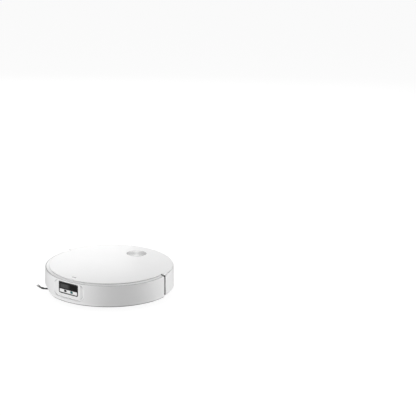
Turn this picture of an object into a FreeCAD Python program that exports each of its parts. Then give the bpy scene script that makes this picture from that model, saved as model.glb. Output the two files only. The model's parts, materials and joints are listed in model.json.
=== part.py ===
import FreeCAD, Part
import math
import os

import Sketcher

# A disc-shaped robot vacuum and mop, in millimetres. It stands on the floor at z = 0, its front faces -Y,
# its right side is -X, and the Z axis runs through the centre of the disc.

doc = FreeCAD.newDocument("RobotVacuum")
sheet = doc.addObject("Spreadsheet::Sheet", "Sizes")

SIZES = {
    # body outline
    "disc_radius": 175.0,
    "top_height": 79.0,
    "lid_edge_height": 75.0,
    "lid_mid_radius": 86.5,
    "lid_crown_radius": 3650.0,
    "lid_front_radius": 163.5,
    "lid_rear_radius": 173.0,
    "lid_rear_underside": 73.0,
    "lid_front_underside": 73.9,
    "lid_mid_underside": 76.9,
    "lid_edge_rounding": 1.0,
    "ground_clearance": 12.0,
    "skin": 2.2,
    "panel_gap": 0.5,
    "boundary_angle": 98.3,
    "boundary_gap_angle": 2.6,
    # bumper
    "bumper_travel": 2.5,
    "bumper_base": 11.5,
    "bumper_lip_radius": 172.0,
    "bumper_lip_height": 2.8,
    "bumper_lip_width": 1.5,
    "bumper_flare": 0.6,
    "bumper_flare_height": 3.2,
    "bumper_wall_top": 71.0,
    "bumper_wall_rounding": 1.6,
    "groove_outer": 173.3,
    "groove_inner": 172.1,
    "groove_floor": 69.4,
    "bumper_shoulder_height": 72.0,
    "bumper_shoulder_radius": 171.2,
    "bumper_flange_height": 73.3,
    "bumper_flange_radius": 164.2,
    "bumper_flange_inner": 159.8,
    "bumper_flange_underside": 71.5,
    "face_plane": 167.0,
    "face_width": 106.0,
    "face_height": 46.0,
    "face_centre_height": 45.0,
    "face_rounding": 17.0,
    "notch_angle": 52.0,
    "notch_half_base": 98.0,
    "notch_half_top": 47.0,
    "notch_height": 26.5,
    "notch_rounding": 18.0,
    # front window
    "window_width": 67.5,
    "window_base": 33.3,
    "window_top": 65.7,
    "window_plane": 170.0,
    "window_pad_width": 82.0,
    "window_pad_slope": 7.0,
    "window_pad_base": 27.5,
    "window_pad_top": 67.6,
    "window_pad_rounding": 12.0,
    "window_frame": 2.7,
    "window_split_height": 45.5,
    "window_top_rounding": 2.0,
    "window_base_rounding": 5.0,
    "window_proud": 0.8,
    "window_depth": 2.8,
    "pane_depth": 1.2,
    "lens_offset": 11.0,
    "lens_height": 41.4,
    "lens_half_width": 4.6,
    "lens_half_height": 3.2,
    # rear shell
    "rear_base_height": 19.5,
    "rear_skirt_base": 15.5,
    "rear_skirt_inner": 171.0,
    "rear_chamfer": 1.5,
    "return_inner": 170.0,
    "return_outer": 171.4,
    "return_join": 173.6,
    "return_start_angle": 98.0,
    "return_join_angle": 100.9,
    "return_end": 38.0,
    "return_base": 14.5,
    "return_top": 66.5,
    "rear_top_height": 72.4,
    "rear_ledge_radius": 167.0,
    "rear_top_rounding": 1.4,
    "contact_offset": 60.0,
    "contact_width": 15.0,
    "contact_height": 11.0,
    "contact_base": 28.5,
    "contact_face": 161.0,
    "contact_depth": 2.0,
    "port_height": 50.0,
    "port_bore_radius": 4.0,
    "port_radius": 7.0,
    "port_face": 174.0,
    # chassis
    "pan_radius": 166.0,
    "pan_floor": 2.5,
    "pan_step": 13.0,
    "wall_top": 66.0,
    "front_wall": 160.0,
    "front_wall_half": 62.0,
    "deck_base": 66.2,
    "deck_top": 68.4,
    "lid_rest_radius": 142.0,
    "lid_rest_top": 74.4,
    "sensor_opening_half": 34.0,
    "sensor_opening_base": 36.0,
    "sensor_opening_top": 65.0,
    "spring_x": 44.0,
    "spring_base": 41.0,
    "spring_top": 49.0,
    "spring_leaf": 0.5,
    "spring_half": 8.5,
    "spring_crest": 2.6,
    "spring_foot": 5.0,
    "spring_bend": 0.9,
    # drive wheels
    "wheel_radius": 33.0,
    "wheel_width": 20.0,
    "wheel_track": 226.0,
    "wheel_y": -8.0,
    "rim_radius": 27.0,
    "rim_cavity": 23.0,
    "rim_face": 4.0,
    "axle_radius": 3.0,
    "running_gap": 0.05,
    "arm_inner": 91.5,
    "arm_outer": 101.0,
    "arm_pivot_y": -50.0,
    "arm_pivot_z": 42.0,
    "arm_pivot_radius": 3.0,
    "hub_motor_radius": 19.0,
    "housing_wall": 2.0,
    "well_inner": 90.5,
    "well_outer": 128.0,
    "well_front": -66.0,
    "well_rear": 34.0,
    # caster
    "caster_y": -126.0,
    "caster_trail": 3.0,
    "caster_radius": 13.0,
    "caster_width": 13.0,
    "fork_radius": 17.8,
    "fork_base": 13.0,
    "fork_top": 32.0,
    "caster_well": 18.6,
    "stem_radius": 2.5,
    "stem_top": 42.0,
    # main brush
    "roller_y": -48.0,
    "roller_z": 21.0,
    "roller_half": 83.0,
    "core_radius": 8.0,
    "blade_sleeve": 10.0,
    "blade_radius": 20.0,
    "blade_thickness": 2.4,
    "tunnel_radius": 22.5,
    "tunnel_half": 88.0,
    "tunnel_front": -76.0,
    "tunnel_rear": -20.0,
    "tunnel_top": 46.0,
    "tunnel_end": 2.5,
    "guard_thickness": 2.0,
    "duct_left": -6.0,
    "duct_right": -62.0,
    "duct_base": 30.0,
    "duct_top": 43.0,
    # side brush
    "side_pivot_x": -75.0,
    "side_pivot_y": -112.0,
    "side_hub_x": -108.0,
    "side_hub_y": -93.0,
    "side_arm_base": 13.5,
    "side_arm_top": 23.0,
    "side_arm_end": 13.0,
    "side_roof_base": 24.5,
    "side_motor_top": 50.0,
    "side_motor_radius": 11.0,
    "side_hub_radius": 9.0,
    "side_hub_base": 5.5,
    "side_hub_top": 12.6,
    "side_shaft_radius": 2.5,
    # mops
    "mop_x": 66.0,
    "mop_y": 84.0,
    "mop_pad_radius": 62.0,
    "mop_pad_top": 5.4,
    "mop_plate_radius": 58.0,
    "mop_plate_top": 8.4,
    "mop_shaft_radius": 4.0,
    "mop_shaft_top": 40.0,
    "mop_gear_radius": 23.0,
    "mop_gear_base": 24.0,
    "mop_gear_top": 44.0,
    "mop_hole_radius": 13.5,
    # turret
    "turret_y": 114.0,
    "turret_cap_radius": 26.5,
    "turret_hole_radius": 27.1,
    "turret_cap_base": 73.2,
    "turret_cup_radius": 25.6,
    "turret_cup_base": 34.0,
    "turret_cup_top": 51.0,
    "turret_sleeve_radius": 29.0,
    "turret_post_radius": 1.3,
    "turret_post_ring": 23.6,
    "lidar_radius": 20.5,
    "lidar_base": 52.0,
    "lidar_top": 72.2,
    # dust path
    "bin_left": 20.0,
    "bin_right": -88.0,
    "bin_front": -14.0,
    "bin_rear": 52.0,
    "bin_base": 24.0,
    "bin_top": 66.0,
    "bin_wall": 1.8,
    "fan_x": 56.0,
    "fan_y": 14.0,
    "fan_radius": 31.0,
    "fan_top": 60.0,
    "impeller_radius": 25.0,
    "impeller_base": 43.0,
    "impeller_top": 54.0,
    # power and electronics
    "battery_right": 24.0,
    "battery_left": 98.0,
    "battery_front": -128.0,
    "battery_rear": -84.0,
    "battery_base": 16.0,
    "battery_top": 60.0,
    "cell_rounding": 10.0,
    "board_right": -68.0,
    "board_left": 80.0,
    "board_front": -140.0,
    "board_rear": -84.0,
    "board_base": 62.4,
    "board_top": 64.0,
    "chip_top": 65.4,
    "eye_board_y": -150.0,
    "eye_board_half": 32.0,
    "eye_board_base": 36.5,
    "eye_board_top": 64.0,
    "eye_tip": -162.8,
    "camera_x": 20.0,
    "camera_z": 56.0,
    "lamp_x": -15.0,
    "lamp_half": 9.0,
    "lamp_base": 51.5,
    "lamp_top": 61.0,
    "laser_radius": 3.0,
    # water
    "tank_inner_radius": 132.5,
    "tank_outer_radius": 162.8,
    "tank_angle": 124.0,
    "tank_base": 24.0,
    "tank_top": 64.0,
    # button on the lid
    "button_y": -146.7,
    "button_length": 14.5,
    "button_width": 4.5,
    "button_base": 69.8,
    "button_clearance": 0.3,
}


class Size:
    """A number together with the spreadsheet expression that gives it."""

    def __init__(self, value, text=None):
        self.value = float(value)
        self.text = text if text else repr(float(value))

    def _join(self, sign, other, value):
        return Size(value, "(%s %s %s)" % (self.text, sign, other.text))

    def __add__(self, other):
        other = size(other)
        return self._join("+", other, self.value + other.value)

    def __sub__(self, other):
        other = size(other)
        return self._join("-", other, self.value - other.value)

    def __mul__(self, other):
        other = size(other)
        return self._join("*", other, self.value * other.value)

    def __truediv__(self, other):
        other = size(other)
        return self._join("/", other, self.value / other.value)

    def __radd__(self, other):
        return size(other) + self

    def __rsub__(self, other):
        return size(other) - self

    def __rmul__(self, other):
        return size(other) * self

    def __neg__(self):
        return Size(-self.value, "(0 - %s)" % self.text)


def size(value):
    return value if isinstance(value, Size) else Size(value)


class Named:
    """Gives each spreadsheet size by its name."""

    def __getattr__(self, name):
        return Size(SIZES[name], "Sizes." + name)


for row, (name, number) in enumerate(SIZES.items(), 1):
    sheet.set("A%d" % row, name)
    sheet.set("B%d" % row, str(number))
    sheet.setAlias("B%d" % row, name)
doc.recompute()
S = Named()

# How far a cutting tool runs past what it cuts, and a reach beyond the whole part.
PAST = 1.0
BEYOND = 200.0
AXIS_TURNS = {
    "X": FreeCAD.Rotation(FreeCAD.Vector(0, 1, 0), 90),
    "Y": FreeCAD.Rotation(FreeCAD.Vector(1, 0, 0), -90),
    "Z": FreeCAD.Rotation(),
}


def bind(thing, prop, value):
    """Drives a feature's dimension from the spreadsheet."""
    value = size(value)
    setattr(thing, prop, value.value)
    thing.setExpression(prop, value.text)


def place(thing, x, y, z, turn=None):
    """Puts a feature at a point given by sizes."""
    at = [size(x), size(y), size(z)]
    where = FreeCAD.Vector(*[a.value for a in at])
    thing.Placement = FreeCAD.Placement(where, turn or FreeCAD.Rotation())
    for letter, a in zip("xyz", at):
        thing.setExpression("Placement.Base." + letter, a.text)
    return thing


def box(x, y, z):
    """A block between two limits along each axis."""
    made = doc.addObject("Part::Box", "Block")
    for prop, (low, high) in zip(("Length", "Width", "Height"), (x, y, z)):
        bind(made, prop, size(high) - low)
    return place(made, x[0], y[0], z[0])


def rod(radius, low, high, at=(0, 0), axis="Z"):
    """A cylinder along an axis. 'at' is its place on the other two axes, in X, Y, Z order."""
    made = doc.addObject("Part::Cylinder", "Rod")
    bind(made, "Radius", radius)
    bind(made, "Height", size(high) - low)
    where = list(at)
    where.insert("XYZ".index(axis), low)
    return place(made, *where, AXIS_TURNS[axis])


def joined(*shapes):
    made = doc.addObject("Part::MultiFuse", "Joined")
    made.Shapes = list(shapes)
    return made


def grouped(*shapes):
    """Separate solids that make one sub-part."""
    made = doc.addObject("Part::Compound", "Grouped")
    made.Links = list(shapes)
    return made


def cut(base, *tools):
    made = doc.addObject("Part::Cut", "Cut")
    made.Base = base
    made.Tool = tools[0] if len(tools) == 1 else joined(*tools)
    return made


def shared(*shapes):
    made = doc.addObject("Part::MultiCommon", "Shared")
    made.Shapes = list(shapes)
    return made


def mirrored(shape):
    """The same piece on the other side of the YZ plane."""
    made = doc.addObject("Part::Mirroring", "Mirrored")
    made.Source = shape
    made.Normal = FreeCAD.Vector(1, 0, 0)
    return made


def plane_of(body, role):
    return [f for f in body.Origin.OriginFeatures if f.Role == role][0]


def attach(sketch, body, role, offset):
    """Puts a sketch on one of the body's own origin planes, moved along its normal."""
    offset = size(offset)
    sketch.AttachmentSupport = [(plane_of(body, role), "")]
    sketch.MapMode = "FlatFace"
    sketch.AttachmentOffset = FreeCAD.Placement(
        FreeCAD.Vector(0, 0, offset.value), FreeCAD.Rotation()
    )
    sketch.setExpression("AttachmentOffset.Base.z", offset.text)


def fix(sketch, kind, refs, value):
    """Adds a driven dimension to a sketch."""
    value = size(value)
    number = sketch.addConstraint(Sketcher.Constraint(kind, *refs, value.value))
    sketch.setExpression("Constraints[%d]" % number, value.text)


def rounding_of(before, at, after, radius):
    """Where a rounded corner starts and ends, its centre, and whether it turns left."""
    back = (before - at).normalize()
    on = (after - at).normalize()
    half = back.getAngle(on) / 2
    run = radius / math.tan(half)
    middle = (back + on).normalize()
    centre = at + middle * (radius / math.sin(half))
    left = (at - before).cross(after - at).z > 0
    return at + back * run, at + on * run, centre, left


def outline(sketch, corners):
    """Closed outline of straight sides. A corner (u, v, radius) is rounded, and (u, v) is sharp."""
    count = len(corners)
    at = [FreeCAD.Vector(size(c[0]).value, size(c[1]).value, 0) for c in corners]
    starts, ends, arcs = list(at), list(at), {}
    for i, corner in enumerate(corners):
        if len(corner) == 3:
            radius = size(corner[2]).value
            first, last, centre, left = rounding_of(at[i - 1], at[i], at[(i + 1) % count], radius)
            starts[i], ends[i] = first, last
            arcs[i] = (centre, radius, left)
    lines = [
        sketch.addGeometry(Part.LineSegment(ends[i], starts[(i + 1) % count]), False)
        for i in range(count)
    ]
    for i, corner in enumerate(corners):
        before, after = lines[i - 1], lines[i]
        if i not in arcs:
            sketch.addConstraint(Sketcher.Constraint("Coincident", before, 2, after, 1))
            point, vertex = after, 1
        else:
            centre, radius, left = arcs[i]
            first, last = (starts[i], ends[i]) if left else (ends[i], starts[i])
            circle = Part.Circle(centre, FreeCAD.Vector(0, 0, 1), radius)
            arc = sketch.addGeometry(
                Part.ArcOfCircle(circle, angle_of(first - centre), angle_of(last - centre)), False
            )
            near, far = (1, 2) if left else (2, 1)
            sketch.addConstraint(Sketcher.Constraint("Tangent", before, 2, arc, near))
            sketch.addConstraint(Sketcher.Constraint("Tangent", arc, far, after, 1))
            fix(sketch, "Radius", (arc,), corner[2])
            point = sketch.addGeometry(Part.Point(at[i]), True)
            vertex = 1
            sketch.addConstraint(Sketcher.Constraint("PointOnObject", point, 1, before))
            sketch.addConstraint(Sketcher.Constraint("PointOnObject", point, 1, after))
        fix(sketch, "DistanceX", (-1, 1, point, vertex), corner[0])
        fix(sketch, "DistanceY", (-1, 1, point, vertex), corner[1])


def angle_of(v):
    return math.atan2(v.y, v.x)


def ring(sketch, radius, u=0, v=0):
    """A circle about a point."""
    u, v = size(u), size(v)
    circle = Part.Circle(FreeCAD.Vector(u.value, v.value, 0), FreeCAD.Vector(0, 0, 1), size(radius).value)
    round_one = sketch.addGeometry(circle, False)
    fix(sketch, "Radius", (round_one,), radius)
    fix(sketch, "DistanceX", (-1, 1, round_one, 3), u)
    fix(sketch, "DistanceY", (-1, 1, round_one, 3), v)


def sketch_on(body, role, offset=0):
    made = body.newObject("Sketcher::SketchObject", "Outline")
    attach(made, body, role, offset)
    return made


def new_body(name="Body"):
    return doc.addObject("PartDesign::Body", name)


def pad(body, role, corners, low, high, normal=1):
    """Extrudes an outline between two positions along the plane's axis. normal is -1 where the plane's
    own normal points down the axis, as the XZ plane's does."""
    start = low if normal == 1 else -size(high)
    made = sketch_on(body, role, start)
    draw(made, corners)
    feature = body.newObject("PartDesign::Pad", "Pad")
    feature.Profile = made
    bind(feature, "Length", size(high) - low)
    made.Visibility = False
    return feature


def pocket(body, role, corners, low, high, normal=1):
    """Cuts an outline out of a body between two positions along the plane's axis."""
    start = high if normal == 1 else -size(low)
    made = sketch_on(body, role, start)
    draw(made, corners)
    feature = body.newObject("PartDesign::Pocket", "Pocket")
    feature.Profile = made
    bind(feature, "Length", size(high) - low)
    made.Visibility = False
    return feature


def draw(sketch, corners):
    """Draws an outline, or a circle where a radius and a centre are given."""
    if isinstance(corners, dict):
        ring(sketch, corners["radius"], *corners.get("at", (0, 0)))
    else:
        outline(sketch, corners)


def turned(body, role, corners, angle=360, about="V_Axis", kind="PartDesign::Revolution"):
    """Turns an outline about a sketch axis, half of the angle to each side of the plane."""
    made = sketch_on(body, role)
    draw(made, corners)
    feature = body.newObject(kind, "Turned")
    feature.Profile = made
    feature.ReferenceAxis = (made, [about])
    bind(feature, "Angle", angle)
    feature.Midplane = True
    made.Visibility = False
    return feature


def soften(body, feature, radius, wanted):
    """Rounds the edges of a feature that a test picks."""
    doc.recompute()
    names = [
        "Edge%d" % i for i, edge in enumerate(feature.Shape.Edges, 1) if wanted(edge)
    ]
    made = body.newObject("PartDesign::Fillet", "Rounding")
    made.Base = (feature, names)
    bind(made, "Radius", radius)
    return made


def around(body, feature, count, role="Z_Axis"):
    """Repeats a feature around one of the body's own axes."""
    made = body.newObject("PartDesign::PolarPattern", "Around")
    made.Originals = [feature]
    axis = [f for f in body.Origin.OriginFeatures if f.Role == role][0]
    made.Axis = (axis, [""])
    made.Angle = 360
    made.Occurrences = count
    body.Tip = made
    return made


def rectangle(low_u, high_u, low_v, high_v, rounding=None):
    """Corners of an upright rectangle, all rounded alike."""
    plain = [(low_u, low_v), (high_u, low_v), (high_u, high_v), (low_u, high_v)]
    return [c + (rounding,) for c in plain] if rounding else plain


def coil(radius, wire, height, turns):
    """A round-wire coil spring standing on z = 0 of its own frame."""
    spine = doc.addObject("Part::Helix", "Spine")
    spine.Radius = radius
    spine.Height = height
    spine.Pitch = height / turns
    section = doc.addObject("Part::Circle", "Wire")
    section.Radius = wire
    section.Placement = FreeCAD.Placement(FreeCAD.Vector(radius, 0, 0), AXIS_TURNS["Y"])
    made = doc.addObject("Part::Sweep", "Coil")
    made.Sections = [section]
    made.Spine = (spine, [])
    made.Solid = True
    made.Frenet = True
    return made


FINISHED = []


def finished(name, thing):
    """Names a sub-part and lists it for export."""
    thing.Label = name
    FINISHED.append((name, thing))
    return thing


# The crowned upper surface that the lid, the turret cap and the button share.

def crown_corners(base):
    """Half section of the disc under the crowned surface, down to a height."""
    return [
        (0, base),
        (S.lid_rear_radius, base),
        (S.lid_rear_radius, S.lid_edge_height, S.lid_edge_rounding),
        (S.lid_mid_radius, S.top_height, S.lid_crown_radius),
        (0, S.top_height),
    ]


def under_crown(base):
    body = new_body("Crown")
    turned(body, "YZ_Plane", crown_corners(base))
    return body


def make_top_cover():
    """Lift-off lid: wide at the rear, and stepped in over the bumper at the front."""
    body = new_body("TopCover")
    turned(body, "YZ_Plane", [
        (0, S.lid_mid_underside),
        (S.lid_mid_radius, S.lid_mid_underside, S.lid_crown_radius),
        (S.lid_front_radius - 1, S.lid_front_underside),
        (S.lid_rear_radius - S.skin, S.lid_rear_underside),
        (S.lid_rear_radius, S.lid_rear_underside),
        (S.lid_rear_radius, S.lid_edge_height, S.lid_edge_rounding),
        (S.lid_mid_radius, S.top_height, S.lid_crown_radius),
        (0, S.top_height),
    ])
    step = turned(
        body, "YZ_Plane",
        rectangle(-S.disc_radius - PAST, -S.lid_front_radius, S.lid_rear_underside - PAST, S.top_height),
        S.boundary_angle * 2 + S.boundary_gap_angle, kind="PartDesign::Groove",
    )

    half_rim = SIZES["lid_front_radius"] * math.radians(SIZES["boundary_angle"])

    def front_rim(edge):
        top = edge.BoundBox.ZMin > SIZES["lid_front_underside"] + 1
        return top and abs(edge.Length - half_rim) < 5

    soften(body, step, S.lid_edge_rounding * 0.8, front_rim)
    pocket(body, "XY_Plane", {"radius": S.turret_hole_radius, "at": (0, S.turret_y)},
           S.lid_rear_underside, S.top_height + PAST)
    half = S.button_length / 2 + S.button_clearance
    across = S.button_width / 2 + S.button_clearance
    pocket(body, "XY_Plane",
           rectangle(-half, half, S.button_y - across, S.button_y + across, across * 0.99),
           S.lid_rear_underside, S.top_height + PAST)
    return body


def make_button():
    """Dark stadium-shaped key, flush with the lid."""
    half = S.button_length / 2
    across = S.button_width / 2
    body = new_body("Button")
    pad(body, "XY_Plane", rectangle(-half, half, S.button_y - across, S.button_y + across, across * 0.99),
        S.button_base, S.top_height)
    return shared(body, under_crown(S.button_base - PAST))


def bumper_section():
    """Half section of the bumper's wall, lower lip and top flange, on the -Y side."""
    outer = -S.disc_radius
    inner = outer + S.skin
    lip = S.bumper_base + S.bumper_lip_height
    return [
        (-S.bumper_lip_radius, S.bumper_base),
        (-S.bumper_lip_radius - S.bumper_lip_width, S.bumper_base, 1),
        (outer - S.bumper_flare, lip, 0.8),
        (outer, lip + S.bumper_flare_height, 4),
        (outer, S.bumper_wall_top, S.bumper_wall_rounding * 0.9),
        (-S.groove_outer, S.bumper_wall_top),
        (-S.groove_outer, S.groove_floor),
        (-S.groove_inner, S.groove_floor),
        (-S.groove_inner, S.bumper_shoulder_height - 0.4),
        (-S.bumper_shoulder_radius, S.bumper_shoulder_height),
        (-S.bumper_flange_radius, S.bumper_flange_height),
        (-S.bumper_flange_inner, S.bumper_flange_height),
        (-S.bumper_flange_inner, S.bumper_flange_underside),
        (-S.bumper_shoulder_radius, S.bumper_shoulder_height - S.skin * 1.4),
        (inner, S.bumper_shoulder_height - S.skin * 2.5),
        (inner, lip + PAST),
        (-S.bumper_lip_radius, S.bumper_base + S.skin),
    ]


def bumper_envelope():
    """The solid inside the bumper's outer surface."""
    return rod(S.disc_radius, S.bumper_base, S.groove_floor)


def face_block(extra, low, high):
    """Rounded rectangle of the flat face, larger by 'extra' all round, between two distances forward."""
    half = S.face_width / 2 + extra
    tall = S.face_height / 2 + extra
    body = new_body("Face")
    pad(body, "XZ_Plane",
        rectangle(-half, half, S.face_centre_height - tall, S.face_centre_height + tall,
                  S.face_rounding + extra),
        -size(high), -size(low), normal=-1)
    return body


def window_pad():
    """Raised panel around the window, in front of the flat face, with sides that slope down to it."""
    half = S.window_pad_width / 2
    foot = half + S.window_pad_slope
    front = new_body("WindowPad")
    pad(front, "XZ_Plane",
        rectangle(-foot, foot, S.window_pad_base, S.window_pad_top, S.window_pad_rounding),
        -S.window_plane, -S.face_plane + S.skin / 2, normal=-1)
    slopes = new_body("WindowPadSlopes")
    pad(slopes, "XY_Plane",
        [(-half, -S.window_plane), (half, -S.window_plane), (foot, -S.face_plane),
         (foot, -S.face_plane + S.skin), (-foot, -S.face_plane + S.skin), (-foot, -S.face_plane)],
        S.window_pad_base - PAST, S.window_pad_top + PAST)
    return shared(front, slopes, bumper_envelope())


def window_corners(margin):
    """Outline of the window, in by 'margin'."""
    half = S.window_width / 2 - margin
    low = S.window_base + margin
    high = S.window_top - margin
    return [
        (-half, low, S.window_base_rounding - margin),
        (half, low, S.window_base_rounding - margin),
        (half, high, S.window_top_rounding - margin),
        (-half, high, S.window_top_rounding - margin),
    ]


def notch_tool():
    """Raises the bumper's lower edge over the side brush."""
    low = S.bumper_base - PAST
    body = new_body("Notch")
    pad(body, "XZ_Plane", [
        (-S.notch_half_base, low),
        (S.notch_half_base, low),
        (S.notch_half_base, S.bumper_base),
        (S.notch_half_top, S.notch_height, S.notch_rounding),
        (-S.notch_half_top, S.notch_height, S.notch_rounding),
        (-S.notch_half_base, S.bumper_base),
    ], -BEYOND, -S.disc_radius / 2, normal=-1)
    turn = FreeCAD.Rotation(FreeCAD.Vector(0, 0, 1), -SIZES["notch_angle"])
    body.Placement = FreeCAD.Placement(FreeCAD.Vector(), turn)
    return body


def make_bumper():
    wall = new_body("BumperWall")
    turned(wall, "YZ_Plane", bumper_section(), S.boundary_angle * 2)
    backing = shared(
        face_block(S.skin, S.face_plane - S.skin, S.disc_radius + PAST), bumper_envelope()
    )
    opening = new_body("WindowOpening")
    pad(opening, "XZ_Plane", window_corners(-0.1), -S.disc_radius, -S.face_plane + S.skin + PAST, normal=-1)
    flat = cut(joined(wall, backing), face_block(0, S.face_plane, S.disc_radius + PAST * 5))
    return cut(joined(flat, window_pad()), opening, notch_tool())


def make_window_frame():
    """Black frame of the front window, with one opening above and one below its crossbar."""
    body = new_body("WindowFrame")
    front = -S.window_plane - S.window_proud
    pad(body, "XZ_Plane", window_corners(0), front, front + S.window_depth, normal=-1)
    inner = S.window_width / 2 - S.window_frame
    for low, high in (
        (S.window_base + S.window_frame, S.window_split_height),
        (S.window_split_height + 1, S.window_top - S.window_frame),
    ):
        pocket(body, "XZ_Plane", rectangle(-inner, inner, low, high, 1),
               front - PAST, front + S.window_depth + PAST, normal=-1)
    return body


def pane(low, high, front):
    """A flat insert of the window frame."""
    inner = S.window_width / 2 - S.window_frame
    body = new_body("Pane")
    pad(body, "XZ_Plane", rectangle(-inner, inner, low, high, 1), front, front + S.pane_depth, normal=-1)
    return body


def make_window_glass():
    front = -S.window_plane - S.window_proud + 0.2
    return pane(S.window_split_height + 1, S.window_top - S.window_frame, front)


def make_sensor_strip():
    """White lower strip with two oval lens openings."""
    front = -S.window_plane - S.window_proud + 0.3
    strip = pane(S.window_base + S.window_frame, S.window_split_height, front)
    holes = [lens_blank(x, front - PAST, front + S.pane_depth + PAST) for x in (S.lens_offset, -S.lens_offset)]
    return cut(strip, *holes)


def lens_blank(middle, front, back):
    """Flat oval of the lens outline, between two positions along Y."""
    low = S.lens_height - S.lens_half_height
    high = S.lens_height + S.lens_half_height
    body = new_body("LensOutline")
    pad(body, "XZ_Plane",
        rectangle(middle - S.lens_half_width, middle + S.lens_half_width, low, high, S.lens_half_height * 0.98),
        front, back, normal=-1)
    return body


def make_lens(side):
    """Domed oval lens: a flat blank with a shallow convex front."""
    front = -S.window_plane - S.window_proud
    blank = lens_blank(side * S.lens_offset, front, front + S.pane_depth + 0.3)
    dome = doc.addObject("Part::Sphere", "Dome")
    bulge = S.lens_half_width * 3
    bind(dome, "Radius", bulge)
    place(dome, side * S.lens_offset, front + bulge, S.lens_height)
    return shared(blank, dome)


def make_bumper_springs():
    """Two arched leaf springs between the front wall and the bumper's flat face."""
    foot = -S.front_wall - 0.1
    crest = -S.face_plane + S.skin + 0.1
    leaf = S.spring_leaf
    bend = S.spring_bend
    springs = []
    for side in (-1, 1):
        x = side * S.spring_x
        body = new_body("LeafSpring")
        pad(body, "XY_Plane", [
            (x - S.spring_half, foot), (x - S.spring_half, foot - leaf),
            (x - S.spring_foot - leaf, foot - leaf, bend), (x - S.spring_crest - leaf, crest, bend),
            (x + S.spring_crest + leaf, crest, bend), (x + S.spring_foot + leaf, foot - leaf, bend),
            (x + S.spring_half, foot - leaf), (x + S.spring_half, foot),
            (x + S.spring_foot, foot, bend), (x + S.spring_crest, crest + leaf, bend),
            (x - S.spring_crest, crest + leaf, bend), (x - S.spring_foot, foot, bend),
        ], S.spring_base, S.spring_top)
        springs.append(body)
    return grouped(*springs)


def rear_arc(low, high, base, top, start):
    """Upright ring segment round the back, from a start angle on each side."""
    body = new_body("RearArc")
    turned(body, "YZ_Plane", rectangle(low, high, base, top), 360 - start * 2)
    return body


def make_rear_shell():
    """Fixed rear wall, with a return at each end that closes the gap beside the bumper."""
    outer = S.disc_radius
    inner = outer - S.skin
    base = S.rear_base_height
    floor_top = base + S.skin
    ledge = S.rear_top_height - 2
    body = new_body("RearShell")
    turned(body, "YZ_Plane", [
        (S.pan_radius + 0.4, base),
        (S.rear_skirt_inner, base),
        (S.rear_skirt_inner, S.rear_skirt_base),
        (outer - S.rear_chamfer, S.rear_skirt_base, 0.8),
        (outer, S.rear_skirt_base + S.rear_chamfer, 1),
        (outer, S.rear_top_height, S.rear_top_rounding),
        (S.rear_ledge_radius, S.rear_top_height),
        (S.rear_ledge_radius, ledge),
        (inner, ledge),
        (inner, floor_top),
        (S.pan_radius + 0.4, floor_top),
    ], 360 - S.boundary_angle * 2 - S.boundary_gap_angle * 2)
    low, high = S.return_base, S.return_top
    returns = cut(
        joined(
            rear_arc(S.return_inner, S.return_outer, low, high, S.return_start_angle),
            rear_arc(S.return_inner, S.return_join, low + 2, high, S.return_join_angle),
        ),
        box((-BEYOND, BEYOND), (S.return_end, BEYOND), (0, BEYOND)),
    )
    start = S.contact_face - S.contact_depth - PAST
    openings = [contact_block(side, 0.25, start, BEYOND) for side in (1, -1)]
    port = rod(S.port_radius + 0.1, S.pan_radius, BEYOND, (0, S.port_height), "Y")
    return cut(joined(body, returns), *openings, port)


def contact_block(side, extra, low, high):
    """Block of one charging contact, larger by 'extra' all round."""
    half = S.contact_width / 2 + extra
    middle = side * S.contact_offset
    return box((middle - half, middle + half), (low, high),
               (S.contact_base - extra, S.contact_base + S.contact_height + extra))


def make_contacts():
    face = S.contact_face
    return grouped(*[contact_block(side, 0, face - S.contact_depth, face) for side in (1, -1)])


def make_water_port():
    low = S.tank_outer_radius + 0.3
    outer = rod(S.port_radius, low, S.port_face, (0, S.port_height), "Y")
    bore = rod(S.port_bore_radius, low - PAST, S.port_face + PAST, (0, S.port_height), "Y")
    return cut(outer, bore)


def side_recess(extra, low, high):
    """Space that the side brush arm sweeps, seen from below."""
    body = new_body("SideRecess")
    pad(body, "XY_Plane", [
        (-60 + extra, -96 + extra), (-60 + extra, -129 - extra),
        (-106, -141 - extra), (-156 - extra, -118 - extra),
        (-132 - extra, -76 + extra), (-93 - extra, -79 + extra),
    ], low, high)
    return body


def housing_space(side, wall, low):
    """Space of one wheel and its arm, larger by a wall on all four sides."""
    near, far = S.well_inner - wall, S.well_outer + wall
    if side < 0:
        near, far = -far, -near
    return box((near, far), (S.well_front - wall, S.well_rear + wall), (low, S.wall_top))


CLIFF_PLACES = ((45, -147), (-45, -147), (131, -80), (-149, -42))
SCREW_PLACES = ((22, -100), (-22, -100), (140, -60), (-138, -10), (86, -118), (140, 8))


def cliff_blocks(extra, low, high):
    """Small sensor windows in the pan's floor."""
    return [
        box((x - 6 - extra, x + 6 + extra), (y - 4 - extra, y + 4 + extra), (low, high))
        for x, y in CLIFF_PLACES
    ]


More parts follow.
